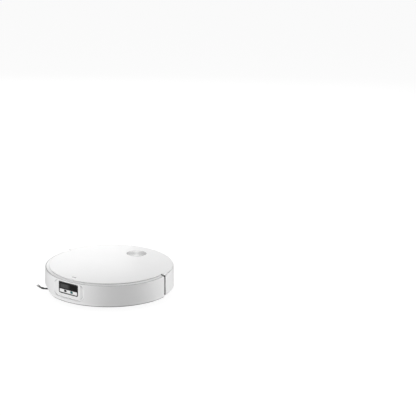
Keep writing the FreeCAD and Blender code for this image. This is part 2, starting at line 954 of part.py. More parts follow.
def make_chassis_pan():
    """Floor with a raised rear half, and a roofed recess over the side brush."""
    floor = S.ground_clearance
    raised = S.rear_base_height
    thick = S.pan_floor
    inner = S.pan_radius - S.skin
    step = S.pan_step
    across = (-BEYOND, BEYOND)
    plates = joined(
        box(across, (-S.front_wall + S.skin, step), (floor, floor + thick)),
        box(across, (step - thick, step), (floor, raised + thick)),
        box(across, (step - thick, BEYOND), (raised, raised + thick)),
        side_recess(3, floor, S.side_roof_base + 2),
    )
    opening = S.tunnel_half - S.tunnel_end
    return cut(
        shared(plates, rod(inner, floor, S.side_roof_base + 2)),
        housing_space(1, S.housing_wall, 0), housing_space(-1, S.housing_wall, 0),
        box((-opening, opening), (S.tunnel_front + 4, S.tunnel_rear - 4), (0, floor + thick + PAST)),
        rod(S.caster_well + S.housing_wall, 0, BEYOND, (0, S.caster_y)),
        side_recess(0, 0, S.side_roof_base),
        rod(S.side_motor_radius + 0.3, 0, BEYOND, (S.side_pivot_x, S.side_pivot_y)),
        *[rod(S.mop_hole_radius, 0, BEYOND, (side * S.mop_x, S.mop_y)) for side in (1, -1)],
        *cliff_blocks(0.2, 0, floor + thick + PAST),
    )


def make_chassis_wall():
    """Round side wall with a flat front, open behind the window and around the water port."""
    floor = S.ground_clearance
    half = S.front_wall_half
    ring_wall = cut(rod(S.pan_radius, floor, S.wall_top), rod(S.pan_radius - S.skin, 0, BEYOND))
    flat_wall = shared(
        box((-half, half), (-S.front_wall, -S.front_wall + S.skin), (floor, S.wall_top)),
        rod(S.pan_radius, floor, S.wall_top),
    )
    opening = S.sensor_opening_half
    return cut(
        joined(ring_wall, flat_wall),
        box((-BEYOND, BEYOND), (-BEYOND, -S.front_wall), (0, BEYOND)),
        box((-BEYOND, BEYOND), (S.pan_step, BEYOND), (0, S.rear_base_height)),
        side_recess(0, 0, S.side_roof_base),
        box((-opening, opening), (-BEYOND, -S.front_wall + S.skin + PAST),
            (S.sensor_opening_base, S.sensor_opening_top)),
        rod(S.port_radius + 0.1, 140, BEYOND, (0, S.port_height), "Y"),
    )


def make_wheel_housing():
    """Left open box around a drive wheel, with the pin that its arm swings on."""
    at = (S.arm_pivot_y, S.arm_pivot_z)
    walls = cut(
        housing_space(1, S.housing_wall, S.ground_clearance),
        housing_space(1, 0, 0),
        box((0, BEYOND), (S.pan_step, BEYOND), (0, S.rear_base_height)),
    )
    boss = rod(S.arm_pivot_radius + 2, S.well_inner - PAST, S.arm_inner - 0.2, at, "X")
    pin = rod(S.arm_pivot_radius, S.well_inner - PAST, S.arm_outer - 0.4, at, "X")
    return joined(walls, boss, pin)


def make_caster_cup():
    """Socket in the pan that the caster's fork turns in."""
    at = (0, S.caster_y)
    cup = rod(S.caster_well + S.housing_wall, S.ground_clearance, S.fork_top + 3, at)
    boss = rod(S.stem_radius + 3.5, S.fork_top, S.stem_top + 3, at)
    return cut(
        joined(cup, boss),
        rod(S.caster_well, 0, S.fork_top + 1, at),
        rod(S.stem_radius + S.running_gap, 0, S.stem_top + 1, at),
    )


def make_deck():
    """Inner top plate that the lid rests on, open over the dust bin and the turret."""
    plate = rod(S.pan_radius - PAST, S.deck_base, S.deck_top)
    rest = cut(
        rod(S.lid_rest_radius, S.deck_base, S.lid_rest_top),
        rod(S.lid_rest_radius - S.skin, 0, BEYOND),
    )
    nose = box((-BEYOND, BEYOND), (-BEYOND, -S.front_wall + S.skin), (0, BEYOND))
    gap = 2.5
    return cut(
        joined(plate, rest),
        nose,
        box((S.bin_right - gap, S.bin_left + gap), (S.bin_front - gap, S.bin_rear + gap), (0, BEYOND)),
        rod(S.turret_hole_radius + 0.4, 0, BEYOND, (0, S.turret_y)),
    )


# Drive wheels: an arm that swings down from the body carries a hub motor and the wheel.

def make_wheel_arm():
    """Left arm with its hub motor and axle, on the +X side."""
    body = new_body("WheelArm")
    pad(body, "YZ_Plane", [
        (-61, 31, 10), (3, 22, 10), (3, 44, 10), (-61, 53, 10),
    ], S.arm_inner, S.arm_outer)
    face = S.wheel_track / 2 + S.wheel_width / 2
    motor_end = face - S.rim_face - PAST
    motor = rod(S.hub_motor_radius, S.arm_outer - PAST, motor_end, (S.wheel_y, S.wheel_radius), "X")
    axle = rod(S.axle_radius, motor_end - PAST, face - 0.5, (S.wheel_y, S.wheel_radius), "X")
    bore = rod(S.arm_pivot_radius + S.running_gap, S.arm_inner - PAST, S.arm_outer + PAST,
               (S.arm_pivot_y, S.arm_pivot_z), "X")
    return cut(joined(body, motor, axle), bore)


def make_rim():
    """Cup-shaped wheel hub, open towards the arm, turned about the wheel's axis."""
    half = S.wheel_width / 2
    body = new_body("Rim")
    turned(body, "XY_Plane", [
        (-half, S.rim_cavity),
        (-half, S.rim_radius),
        (half, S.rim_radius),
        (half, S.rim_radius - 3, 1),
        (half - 1.2, S.rim_radius - 5),
        (half - 1.2, S.axle_radius + 4),
        (half, S.axle_radius + 3),
        (half, S.axle_radius + S.running_gap),
        (half - S.rim_face, S.axle_radius + S.running_gap),
        (half - S.rim_face, S.rim_cavity),
    ], about="H_Axis")
    place(body, S.wheel_track / 2, S.wheel_y, S.wheel_radius)
    return body


def make_tyre():
    """Rubber tyre with a ring of tread blocks."""
    half = S.wheel_width / 2
    body = new_body("Tyre")
    turned(body, "XY_Plane", [
        (-half, S.rim_radius),
        (-half, S.wheel_radius, 2),
        (half, S.wheel_radius, 2),
        (half, S.rim_radius),
    ], about="H_Axis")
    slot = pocket(body, "YZ_Plane",
                  rectangle(-1.3, 1.3, S.wheel_radius - 2, S.wheel_radius + 1), -half + 2.5, half - 2.5)
    around(body, slot, 24, "X_Axis")
    place(body, S.wheel_track / 2, S.wheel_y, S.wheel_radius)
    return body


def make_suspension_spring():
    """Coil between the deck and the arm, on the +X side."""
    wire = 0.7
    gap = 0.2
    low = 47.0
    coil_x = 95.6
    spring = coil(3.4, wire, SIZES["deck_base"] - low - 2 * wire - 2 * gap, 7)
    at = FreeCAD.Vector(coil_x, SIZES["wheel_y"], low + wire + gap)
    spring.Placement = FreeCAD.Placement(at, FreeCAD.Rotation())
    return spring


def make_caster_fork():
    trail_y = S.caster_y + S.caster_trail
    space = S.caster_width / 2 + 0.6
    centre = S.caster_radius
    body = joined(
        rod(S.fork_radius, S.fork_base, S.fork_top, (0, S.caster_y)),
        rod(S.stem_radius, S.fork_top - PAST, S.stem_top, (0, S.caster_y)),
    )
    return cut(
        body,
        rod(S.caster_radius + 0.8, -space, space, (trail_y, centre), "X"),
        box((-space, space), (trail_y - S.caster_radius - 0.8, trail_y + S.caster_radius + 0.8), (0, centre)),
        rod(1.5 + S.running_gap, -11.2, 11.2, (trail_y, centre), "X"),
    )


def make_caster_wheel():
    half = S.caster_width / 2
    body = new_body("CasterWheel")
    turned(body, "XY_Plane", [
        (-11, 0), (11, 0), (11, 1.5), (half, 1.5),
        (half, S.caster_radius, 2.5), (-half, S.caster_radius, 2.5), (-half, 1.5), (-11, 1.5),
    ], about="H_Axis")
    place(body, 0, S.caster_y + S.caster_trail, S.caster_radius)
    return body


# Main brush

def make_roller_core():
    body = new_body("RollerCore")
    pin = 3
    turned(body, "XY_Plane", [
        (-S.tunnel_half + 0.4, 0), (S.tunnel_half - 0.4, 0),
        (S.tunnel_half - 0.4, pin), (S.roller_half, pin),
        (S.roller_half, S.core_radius), (-S.roller_half, S.core_radius),
        (-S.roller_half, pin), (-S.tunnel_half + 0.4, pin),
    ], about="H_Axis")
    place(body, 0, S.roller_y, S.roller_z)
    return body


def make_roller_blades():
    """Rubber sleeve with six blades along the roller."""
    half = S.roller_half - 2
    body = new_body("RollerBlades")
    turned(body, "XY_Plane",
           rectangle(-half, half, S.core_radius, S.blade_sleeve), about="H_Axis")
    thick = S.blade_thickness / 2
    blade = pad(body, "YZ_Plane",
                rectangle(-thick, thick, S.blade_sleeve - PAST, S.blade_radius, 0.8), -half, half)
    around(body, blade, 6, "X_Axis")
    place(body, 0, S.roller_y, S.roller_z)
    return body


def make_brush_tunnel():
    """Housing over the main brush, with the duct to the dust bin."""
    half = S.tunnel_half
    inner = half - S.tunnel_end
    low = S.ground_clearance + S.pan_floor + 0.1
    shell = box((-half, half), (S.tunnel_front, S.tunnel_rear), (low, S.tunnel_top))
    wall = 3
    collar = box((S.duct_right - wall, S.duct_left + wall), (S.tunnel_rear - PAST, S.bin_front - 0.3),
                 (S.duct_base - wall, S.duct_top + wall))
    return cut(
        joined(shell, collar),
        rod(S.tunnel_radius, -inner, inner, (S.roller_y, S.roller_z), "X"),
        box((-inner, inner), (S.roller_y - S.tunnel_radius, S.roller_y + S.tunnel_radius), (0, S.roller_z)),
        rod(3 + S.running_gap, -half - PAST, half + PAST, (S.roller_y, S.roller_z), "X"),
        box((S.duct_right, S.duct_left), (S.roller_y, S.bin_front + PAST), (S.duct_base, S.duct_top)),
    )


def make_brush_guard():
    """Frame under the main brush that latches to the pan."""
    top = S.ground_clearance - 0.1
    body = new_body("BrushGuard")
    edge = S.tunnel_half + 2
    pad(body, "XY_Plane", rectangle(-edge, edge, S.tunnel_front - 4, S.tunnel_rear + 4, 5),
        top - S.guard_thickness, top)
    inner = S.roller_half + 1
    pocket(body, "XY_Plane", rectangle(-inner, inner, S.tunnel_front + 5, S.tunnel_rear - 5, 3),
           top - S.guard_thickness - PAST, top + PAST)
    return body


# Side brush

def make_side_motor():
    return rod(S.side_motor_radius, S.side_arm_top + 0.4, S.side_motor_top, (S.side_pivot_x, S.side_pivot_y))


def make_side_arm():
    """Geared arm that swings the brush out, with its pivot pin and the brush's output shaft."""
    low, high = S.side_arm_base, S.side_arm_top
    run_x = SIZES["side_hub_x"] - SIZES["side_pivot_x"]
    run_y = SIZES["side_hub_y"] - SIZES["side_pivot_y"]
    length = math.hypot(run_x, run_y)
    beam = new_body("SideArm")
    pad(beam, "XY_Plane",
        rectangle(-SIZES["side_arm_end"], length + SIZES["side_arm_end"],
                  -SIZES["side_arm_end"], SIZES["side_arm_end"], SIZES["side_arm_end"] * 0.98),
        low, high)
    turn = FreeCAD.Rotation(FreeCAD.Vector(0, 0, 1), math.degrees(math.atan2(run_y, run_x)))
    place(beam, S.side_pivot_x, S.side_pivot_y, 0, turn)
    shaft = rod(S.side_shaft_radius, S.side_hub_base + 1, low + PAST, (S.side_hub_x, S.side_hub_y))
    return joined(beam, shaft)


def make_side_hub():
    """Cap on the output shaft, with two hard stems that hold the bristles."""
    hub = new_body("SideHub")
    turned(hub, "XZ_Plane", [
        (0, S.side_hub_base - 1), (S.side_hub_radius - 2, S.side_hub_base - 1, 1.5),
        (S.side_hub_radius, S.side_hub_top - 2, 1), (S.side_hub_radius - 2, S.side_hub_top, 1),
        (0, S.side_hub_top),
    ])
    place(hub, S.side_hub_x, S.side_hub_y, 0)
    stems = [swept_stem(turn) for turn in (0, 180)]
    bore = rod(S.side_shaft_radius, S.side_hub_base + 1, S.side_hub_top + PAST, (S.side_hub_x, S.side_hub_y))
    return cut(joined(hub, *stems), bore)


# The middle line of one swept brush arm from the hub's axis, in plan and in height over the floor.
STEM_LINE = ((-4, -3.5, 7.2), (-14, -13.5, 7.0), (-26, -19.8, 6.2), (-39.5, -19.6, 5.2))
TUFT_LINE = ((-35.5, -20.3, 5.4), (-46, -16.8, 4.7), (-57.5, -10.2, 3.4), (-68.5, -4, 2.0))


def swept_bar(line, radii, turn):
    """A round bar along a smooth line, thinning or spreading along its length."""
    points = [FreeCAD.Vector(*p) for p in line]
    curve = Part.BSplineCurve()
    curve.interpolate(points)
    first, last = curve.FirstParameter, curve.LastParameter
    rings = []
    for part_way, radius in radii:
        here = first + (last - first) * part_way
        along = curve.tangent(here)[0]
        rings.append(Part.Wire(Part.Circle(curve.value(here), along, radius).toShape()))
    made = doc.addObject("Part::Feature", "Bar")
    made.Shape = Part.makeLoft(rings, True, False)
    spin = FreeCAD.Rotation(FreeCAD.Vector(0, 0, 1), turn)
    return place(made, S.side_hub_x, S.side_hub_y, 0, spin)


def swept_stem(turn):
    return swept_bar(STEM_LINE, ((0, 2.4), (0.2, 2.4), (0.4, 2.3), (0.6, 2.2), (0.8, 2.1), (1, 2.0)), turn)


def make_side_bristles():
    """A tuft clamped over the end of each stem."""
    tufts = [
        swept_bar(TUFT_LINE, ((0, 2.5), (0.25, 2.4), (0.5, 2.4), (0.75, 2.1), (1, 1.6)), turn)
        for turn in (0, 180)
    ]
    stems = joined(*[swept_stem(turn) for turn in (0, 180)])
    return cut(grouped(*tufts), stems)


# Mops, one on each side

def make_mop_gearbox():
    """Left gearbox, which the lift carries up and down."""
    body = rod(S.mop_gear_radius, S.mop_gear_base, S.mop_gear_top, (S.mop_x, S.mop_y))
    bore = rod(S.mop_shaft_radius + S.running_gap, 0, S.mop_shaft_top + 0.5, (S.mop_x, S.mop_y))
    return cut(body, bore)


def make_mop_plate():
    """Left driven plate with its shaft."""
    body = new_body("MopPlate")
    shaft = S.mop_shaft_radius
    turned(body, "XZ_Plane", [
        (0, S.mop_pad_top), (S.mop_plate_radius, S.mop_pad_top),
        (S.mop_plate_radius, S.mop_plate_top, 1), (14, S.mop_plate_top),
        (8, S.mop_plate_top + 4, 2), (shaft, S.mop_plate_top + 5),
        (shaft, S.mop_shaft_top), (0, S.mop_shaft_top),
    ])
    return place(body, S.mop_x, S.mop_y, 0)


def make_mop_pad():
    body = new_body("MopPad")
    turned(body, "XZ_Plane", [
        (0, 0), (S.mop_pad_radius, 0, 2.4), (S.mop_pad_radius, S.mop_pad_top, 2.4), (0, S.mop_pad_top),
    ])
    return place(body, S.mop_x, S.mop_y, 0)


# Lidar turret

def make_turret_sleeve():
    ring_low, ring_high = S.rear_base_height + S.pan_floor + 0.1, S.deck_base - 0.2
    return cut(
        rod(S.turret_sleeve_radius, ring_low, ring_high, (0, S.turret_y)),
        rod(S.turret_cup_radius + 0.5, ring_low + 3, BEYOND, (0, S.turret_y)),
    )


def make_turret_carriage():
    """Cup that slides in the sleeve, with three posts up to the cap."""
    cup = rod(S.turret_cup_radius, S.turret_cup_base, S.turret_cup_top, (0, S.turret_y))
    posts = []
    for turn in (30, 150, 270):
        x = SIZES["turret_post_ring"] * math.cos(math.radians(turn))
        y = SIZES["turret_post_ring"] * math.sin(math.radians(turn))
        posts.append(rod(S.turret_post_radius, S.turret_cup_top - PAST, S.turret_cap_base,
                         (x, S.turret_y + y)))
    return joined(cup, *posts)


def make_turret_cap():
    disc = rod(S.turret_cap_radius, S.turret_cap_base, S.top_height, (0, S.turret_y))
    return shared(disc, under_crown(S.turret_cap_base - PAST))


def make_lidar_head():
    """Spinning rangefinder with its two windows."""
    body = new_body("LidarHead")
    radius = S.lidar_radius
    turned(body, "XZ_Plane", [
        (0, S.lidar_base), (radius, S.lidar_base, 1), (radius, S.lidar_top, 2), (0, S.lidar_top),
    ])
    for side in (-1, 1):
        pocket(body, "XZ_Plane",
               rectangle(side * 8 - 5, side * 8 + 5, S.lidar_base + 6, S.lidar_top - 5, 2),
               -radius, -radius + 7, normal=-1)
    return place(body, 0, S.turret_y, 0)


# Dust path

def make_dust_bin():
    wall = S.bin_wall
    outer = box((S.bin_right, S.bin_left), (S.bin_front, S.bin_rear), (S.bin_base, S.bin_top))
    inner = box((S.bin_right + wall, S.bin_left - 12), (S.bin_front + wall, S.bin_rear - wall),
                (S.bin_base + wall, S.bin_top + PAST))
    duct = box((S.duct_right, S.duct_left), (S.bin_front - PAST, S.bin_front + wall + PAST),
               (S.duct_base, S.duct_top))
    filter_space = box((S.bin_left - 12 - PAST, S.bin_left - 1.6), (S.bin_front + 6, S.bin_rear - 6),
                       (S.bin_base + 4, S.bin_top + PAST))
    outlet = box((S.bin_left - 4, S.bin_left + PAST), (S.bin_front + 10, S.bin_rear - 10),
                 (S.bin_base + 8, S.bin_top - 8))
    return cut(outer, inner, duct, filter_space, outlet)


def make_bin_lid():
    return box((S.bin_right, S.bin_left), (S.bin_front, S.bin_rear), (S.bin_top + 0.1, S.deck_top))


def make_filter():
    """Pleated filter cartridge."""
    low_y, high_y = SIZES["bin_front"] + 7, SIZES["bin_rear"] - 7
    frame = box((S.bin_left - 10.6, S.bin_left - 2), (S.bin_front + 7, S.bin_rear - 7),
                (S.bin_base + 5, S.bin_top - 1))
    pleats = 10
    pitch = (high_y - low_y - 6) / pleats
    slots = [
        box((S.bin_left - 6, S.bin_left), (low_y + 3 + pitch * i, low_y + 3 + pitch * (i + 0.6)),
            (S.bin_base + 9, S.bin_top - 5))
        for i in range(pleats)
    ]
    return cut(frame, *slots)


def make_fan_housing():
    at = (S.fan_x, S.fan_y)
    base = S.bin_base
    body = joined(
        rod(S.fan_radius, base, S.fan_top, at),
        box((S.fan_x, S.fan_x + S.fan_radius), (S.fan_y, S.fan_y + S.fan_radius + 4), (S.impeller_base - 2, S.fan_top)),
    )
    return cut(
        body,
        rod(S.impeller_radius + 1.5, S.impeller_base - 1, S.impeller_top + 1, at),
        rod(13, S.impeller_top, S.fan_top + PAST, at),
        rod(2 + S.running_gap, base + 6, S.impeller_base, at),
        box((S.fan_x + 8, S.fan_x + S.fan_radius - 3), (S.fan_y + 6, BEYOND), (S.impeller_base, S.impeller_top)),
    )


def make_impeller():
    body = new_body("Impeller")
    low, high = S.impeller_base, S.impeller_top
    turned(body, "XZ_Plane", [
        (0, low - 12.5), (2, low - 12.5), (2, low), (S.impeller_radius, low),
        (S.impeller_radius, low + 1.5), (9, low + 1.5), (5, high), (0, high),
    ])
    blade = pad(body, "XY_Plane", rectangle(5, S.impeller_radius - 0.5, -0.7, 0.7), low + 1, high)
    around(body, blade, 9)
    return place(body, S.fan_x, S.fan_y, 0)


# Power, water and electronics

def make_battery():
    """Shrink-wrapped pack of four cells, two by two."""
    body = new_body("Battery")
    pad(body, "YZ_Plane",
        rectangle(S.battery_front, S.battery_rear, S.battery_base, S.battery_top, S.cell_rounding),
        S.battery_right, S.battery_left)
    return body


# Right edge, front edge, width and depth of each chip on the main board.
CHIPS = ((-40, -120, 18, 18), (-10, -112, 12, 14), (18, -122, 22, 12), (60, -106, 10, 10))


def make_main_board():
    board = box((S.board_right, S.board_left), (S.board_front, S.board_rear), (S.board_base, S.board_top))
    chips = [
        box((x, x + width), (y, y + depth), (S.board_top - PAST, S.chip_top))
        for x, y, width, depth in CHIPS
    ]
    return joined(board, *chips)


def make_camera_unit():
    """Fixed board behind the window with a camera, a lamp and two line lasers."""
    face = S.eye_board_y
    tip = S.eye_tip
    eye = (S.camera_x, S.camera_z)
    board = box((-S.eye_board_half, S.eye_board_half), (face, face + 1.6), (S.eye_board_base, S.eye_board_top))
    barrel = joined(
        rod(7, face - 7, face + PAST, eye, "Y"),
        rod(5, tip, face - 7 + PAST, eye, "Y"),
    )
    lamp = box((S.lamp_x - S.lamp_half, S.lamp_x + S.lamp_half), (tip, face + PAST), (S.lamp_base, S.lamp_top))
    lasers = [
        rod(S.laser_radius, tip, face + PAST, (x, S.lens_height), "Y")
        for x in (-S.lens_offset, S.lens_offset)
    ]
    return joined(board, barrel, lamp, *lasers)


def make_water_tank():
    """Curved tank at the rear, cut back around the turret."""
    body = new_body("TankOuter")
    turned(body, "YZ_Plane",
           rectangle(S.tank_inner_radius, S.tank_outer_radius, S.tank_base, S.tank_top, 3), S.tank_angle)
    hollow = new_body("TankInner")
    wall = 2
    turned(hollow, "YZ_Plane",
           rectangle(S.tank_inner_radius + wall, S.tank_outer_radius - wall,
                     S.tank_base + wall, S.tank_top - wall, 2), S.tank_angle - 2)
    lump = rod(S.turret_sleeve_radius + 3, 0, BEYOND, (0, S.turret_y))
    port = rod(S.port_bore_radius + 1, 155, BEYOND, (0, S.port_height), "Y")
    return cut(body, cut(hollow, lump), rod(S.turret_sleeve_radius + 0.6, 0, BEYOND, (0, S.turret_y)), port)


def make_pump():
    return joined(
        box((-18, 10), (56, 78), (24, 44)),
        rod(7, 9, 26, (67, 34), "X"),
    )


def make_screws():
    """Pan-head screws in the underside."""
    top = SIZES["ground_clearance"]
    heads = []
    for x, y in SCREW_PLACES:
        head = rod(3.2, top - 1.2, top - 0.02, (x, y))
        slot = box((x - 0.4, x + 0.4), (y - 2.2, y + 2.2), (top - 2, top - 0.7))
        heads.append(cut(head, slot))
    return grouped(*heads)


left = {
    "arm": make_wheel_arm(), "rim": make_rim(), "tyre": make_tyre(), "spring": make_suspension_spring(),
    "gearbox": make_mop_gearbox(), "plate": make_mop_plate(), "pad": make_mop_pad(),
    "housing": make_wheel_housing(),
}

finished("chassis_pan", make_chassis_pan())
finished("chassis_wall", make_chassis_wall())
finished("wheel_housing_left", left["housing"])
finished("wheel_housing_right", mirrored(left["housing"]))
finished("caster_cup", make_caster_cup())
finished("inner_deck", make_deck())
finished("rear_shell", make_rear_shell())
finished("charging_contacts", make_contacts())
finished("water_port", make_water_port())
finished("bumper_shell", make_bumper())
finished("window_frame", make_window_frame())
finished("window_glass", make_window_glass())
finished("sensor_strip", make_sensor_strip())
finished("lens_right", make_lens(-1))
finished("lens_left", make_lens(1))
finished("bumper_springs", make_bumper_springs())
finished("top_cover", make_top_cover())
finished("lid_button", make_button())
finished("turret_sleeve", make_turret_sleeve())
finished("turret_carriage", make_turret_carriage())
finished("turret_cap", make_turret_cap())
finished("lidar_head", make_lidar_head())
finished("wheel_arm_left", left["arm"])
finished("wheel_rim_left", left["rim"])
finished("wheel_tyre_left", left["tyre"])
finished("suspension_spring_left", left["spring"])
finished("wheel_arm_right", mirrored(left["arm"]))
finished("wheel_rim_right", mirrored(left["rim"]))
finished("wheel_tyre_right", mirrored(left["tyre"]))
finished("suspension_spring_right", mirrored(left["spring"]))
finished("caster_fork", make_caster_fork())
finished("caster_wheel", make_caster_wheel())
finished("brush_tunnel", make_brush_tunnel())
finished("brush_guard", make_brush_guard())
finished("roller_core", make_roller_core())
finished("roller_blades", make_roller_blades())
finished("side_brush_motor", make_side_motor())
finished("side_brush_arm", make_side_arm())
finished("side_brush_hub", make_side_hub())
finished("side_brush_bristles", make_side_bristles())
finished("mop_gearbox_left", left["gearbox"])
finished("mop_plate_left", left["plate"])
finished("mop_pad_left", left["pad"])
finished("mop_gearbox_right", mirrored(left["gearbox"]))
finished("mop_plate_right", mirrored(left["plate"]))
finished("mop_pad_right", mirrored(left["pad"]))
finished("dust_bin", make_dust_bin())
finished("bin_lid", make_bin_lid())
finished("bin_filter", make_filter())
finished("fan_housing", make_fan_housing())
finished("fan_impeller", make_impeller())
finished("battery_pack", make_battery())
finished("main_board", make_main_board())
finished("camera_unit", make_camera_unit())
finished("water_tank", make_water_tank())
finished("water_pump", make_pump())
finished("cliff_sensors", grouped(*cliff_blocks(0, S.ground_clearance + 0.3, S.ground_clearance + 4)))
finished("pan_screws", make_screws())

doc.recompute()
broken = [thing.Label for thing in doc.Objects if {"Invalid", "Error"} & set(thing.State)]
if broken:
    raise RuntimeError("features that did not build: %s" % broken)
for name, thing in FINISHED:
    if thing.Shape.isNull() or not thing.Shape.isValid() or not thing.Shape.Solids:
        raise RuntimeError("sub-part %s has no sound shape" % name)

os.makedirs("parts", exist_ok=True)
for name, thing in FINISHED:
    thing.Shape.exportStep("parts/%s.step" % name)
print("wrote %d sub-parts" % len(FINISHED))
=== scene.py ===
"""The looks of a disc-shaped robot vacuum and mop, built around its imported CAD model.

Everything is in metres. The robot stands on z = 0, its front faces -Y, its right side is -X, and the Z
axis is the axis of the disc.
"""
import json
import math
import random

import bpy
from mathutils import Matrix, Vector


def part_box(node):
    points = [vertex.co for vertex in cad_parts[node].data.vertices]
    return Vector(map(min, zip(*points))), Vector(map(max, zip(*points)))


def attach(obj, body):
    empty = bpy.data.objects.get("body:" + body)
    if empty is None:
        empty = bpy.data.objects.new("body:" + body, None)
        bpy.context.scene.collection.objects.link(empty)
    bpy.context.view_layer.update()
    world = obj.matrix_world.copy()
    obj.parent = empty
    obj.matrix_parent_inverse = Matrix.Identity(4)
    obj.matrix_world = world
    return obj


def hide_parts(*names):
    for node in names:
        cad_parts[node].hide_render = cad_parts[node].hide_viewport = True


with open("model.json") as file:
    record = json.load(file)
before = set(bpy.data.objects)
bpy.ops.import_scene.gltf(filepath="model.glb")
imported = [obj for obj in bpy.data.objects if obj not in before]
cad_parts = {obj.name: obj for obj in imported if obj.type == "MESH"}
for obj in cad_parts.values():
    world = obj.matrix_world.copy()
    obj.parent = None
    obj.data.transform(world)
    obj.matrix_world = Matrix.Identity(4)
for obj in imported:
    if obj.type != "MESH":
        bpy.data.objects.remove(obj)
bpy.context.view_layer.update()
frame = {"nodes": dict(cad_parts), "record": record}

MM = 0.001
UP = Vector((0, 0, 1))


# Materials

class Finish:
    """A procedural material: a principled shader, and textures that vary it over the object's surface."""

    def __init__(self, name, **values):
        self.material = bpy.data.materials.new(name)
        self.material.use_nodes = True
        self.tree = self.material.node_tree
        self.shader = self.tree.nodes["Principled BSDF"]
        self.surface = self.node("ShaderNodeTexCoord").outputs["Object"]
        for socket, value in values.items():
            self.shader.inputs[socket.replace("_", " ")].default_value = value

    def node(self, kind, links=(), **settings):
        """A new node, with its inputs set or linked, and its own settings."""
        made = self.tree.nodes.new(kind)
        for setting, value in settings.items():
            setattr(made, setting, value)
        for socket, value in dict(links).items():
            self.join(value, made.inputs[socket])
        return made

    def join(self, value, socket):
        if isinstance(value, bpy.types.NodeSocket):
            self.tree.links.new(value, socket)
        else:
            socket.default_value = value

    def stretched(self, stretch):
        return self.node("ShaderNodeMapping", {"Vector": self.surface, "Scale": stretch}).outputs["Vector"]

    def noise(self, lump, detail=2.0, stretch=(1, 1, 1), twist=0.0):
        """Noise with lumps about 'lump' metres across."""
        links = {"Vector": self.stretched(stretch), "Scale": 1 / lump}
        links.update({"Detail": detail, "Distortion": twist})
        return self.node("ShaderNodeTexNoise", links).outputs["Fac"]

    def cells(self, cell, stretch=(1, 1, 1), feature="F1"):
        """Distance to the nearest of points about 'cell' metres apart."""
        links = {"Vector": self.stretched(stretch), "Scale": 1 / cell}
        return self.node("ShaderNodeTexVoronoi", links, feature=feature).outputs["Distance"]

    def waves(self, width, direction="X", twist=0.0):
        """Bands 'width' metres apart across the given direction."""
        links = {"Vector": self.surface, "Scale": math.tau / 20 / width, "Distortion": twist}
        return self.node("ShaderNodeTexWave", links, bands_direction=direction).outputs["Fac"]

    def rings(self, width, x=0.0, y=0.0):
        """Rings 'width' metres apart about an upright axis."""
        moved = self.node("ShaderNodeMapping", {"Vector": self.surface, "Location": (-x, -y, 0)})
        links = {"Vector": moved.outputs["Vector"], "Scale": math.tau / 20 / width, "Detail": 0.0}
        made = self.node("ShaderNodeTexWave", links, wave_type="RINGS", rings_direction="Z")
        return made.outputs["Fac"]

    def math(self, operation, one, other=0.0):
        return self.node("ShaderNodeMath", {0: one, 1: other}, operation=operation).outputs["Value"]

    def spread(self, value, low, high, start=0.35, end=0.65):
        """A texture's value from start to end, mapped on to low to high."""
        links = {"Value": value, "From Min": start, "From Max": end, "To Min": low, "To Max": high}
        return self.node("ShaderNodeMapRange", links).outputs["Result"]

    def blended(self, share, one, other):
        """A colour between one and other."""
        mix = self.node("ShaderNodeMix", {"Factor": share}, data_type="RGBA")
        self.join(one, mix.inputs[6])
        self.join(other, mix.inputs[7])
        return mix.outputs[2]

    def edges(self, radius, samples=4):
        """How near the surface is to a sharp edge: 0 on open faces, up to 1 along edges."""
        rounded = self.node("ShaderNodeBevel", {"Radius": radius}, samples=samples).outputs["Normal"]
        flat = self.node("ShaderNodeNewGeometry").outputs["Normal"]
        turn = self.node("ShaderNodeVectorMath", {0: rounded, 1: flat}, operation="DOT_PRODUCT")
        return self.spread(turn.outputs["Value"], 1.0, 0.0, 0.80, 0.995)

    def crevices(self, reach):
        """How shut in the surface is by what lies within 'reach' of it: 0 in the open, 1 down a seam."""
        open_share = self.node("ShaderNodeAmbientOcclusion", {"Distance": reach}, samples=8).outputs["AO"]
        return self.spread(open_share, 1.0, 0.0, 0.25, 0.80)

    def place(self, axis, start, end):
        """0 before 'start' and 1 after 'end', along the X, Y or Z axis."""
        along = self.node("ShaderNodeSeparateXYZ", {"Vector": self.surface}).outputs[axis]
        return self.spread(along, 0.0, 1.0, start, end)

    def coloured(self, value):
        self.join(value, self.shader.inputs["Base Color"])
        return self

    def roughened(self, value):
        self.join(value, self.shader.inputs["Roughness"])
        return self

    def bumped(self, height, depth, before=None):
        """Relief 'depth' metres deep, added to any relief before it."""
        links = {"Height": height, "Distance": depth, "Strength": 1.0}
        if before is not None:
            links["Normal"] = before
        bump = self.node("ShaderNodeBump", links).outputs["Normal"]
        self.join(bump, self.shader.inputs["Normal"])
        return bump


def grey(value, warmth=0.0):
    """A nearly neutral colour; warmth lifts red and lowers blue a little."""
    return (value * (1 + warmth), value, value * (1 - warmth), 1)


def moulded(name, colour, roughness, grain, depth, wear=0.5, **values):
    """Moulded plastic: slight colour drift, fine surface grain, uneven gloss and paler rubbed edges."""
    finish = Finish(name, **values)
    drift = finish.spread(finish.noise(0.06, 4), 0.0, 1.0)
    dark = tuple(c * 0.975 for c in colour[:3]) + (1,)
    body = finish.blended(drift, dark, colour)
    rubbed = tuple(min(1.0, c * 1.06 + 0.012) for c in colour[:3]) + (1,)
    edge = finish.edges(0.5 * MM)
    scuffs = finish.spread(finish.noise(3 * MM, 5), 0.0, wear, 0.4, 0.7)
    finish.coloured(finish.blended(finish.math("MULTIPLY", edge, scuffs), body, rubbed))
    smears = finish.noise(0.03, 5, (1, 1, 2.2), 0.6)
    finish.roughened(finish.spread(smears, roughness * 0.86, roughness * 1.16, 0.3, 0.7))
    finish.bumped(finish.noise(grain, 3), depth)
    return finish.material


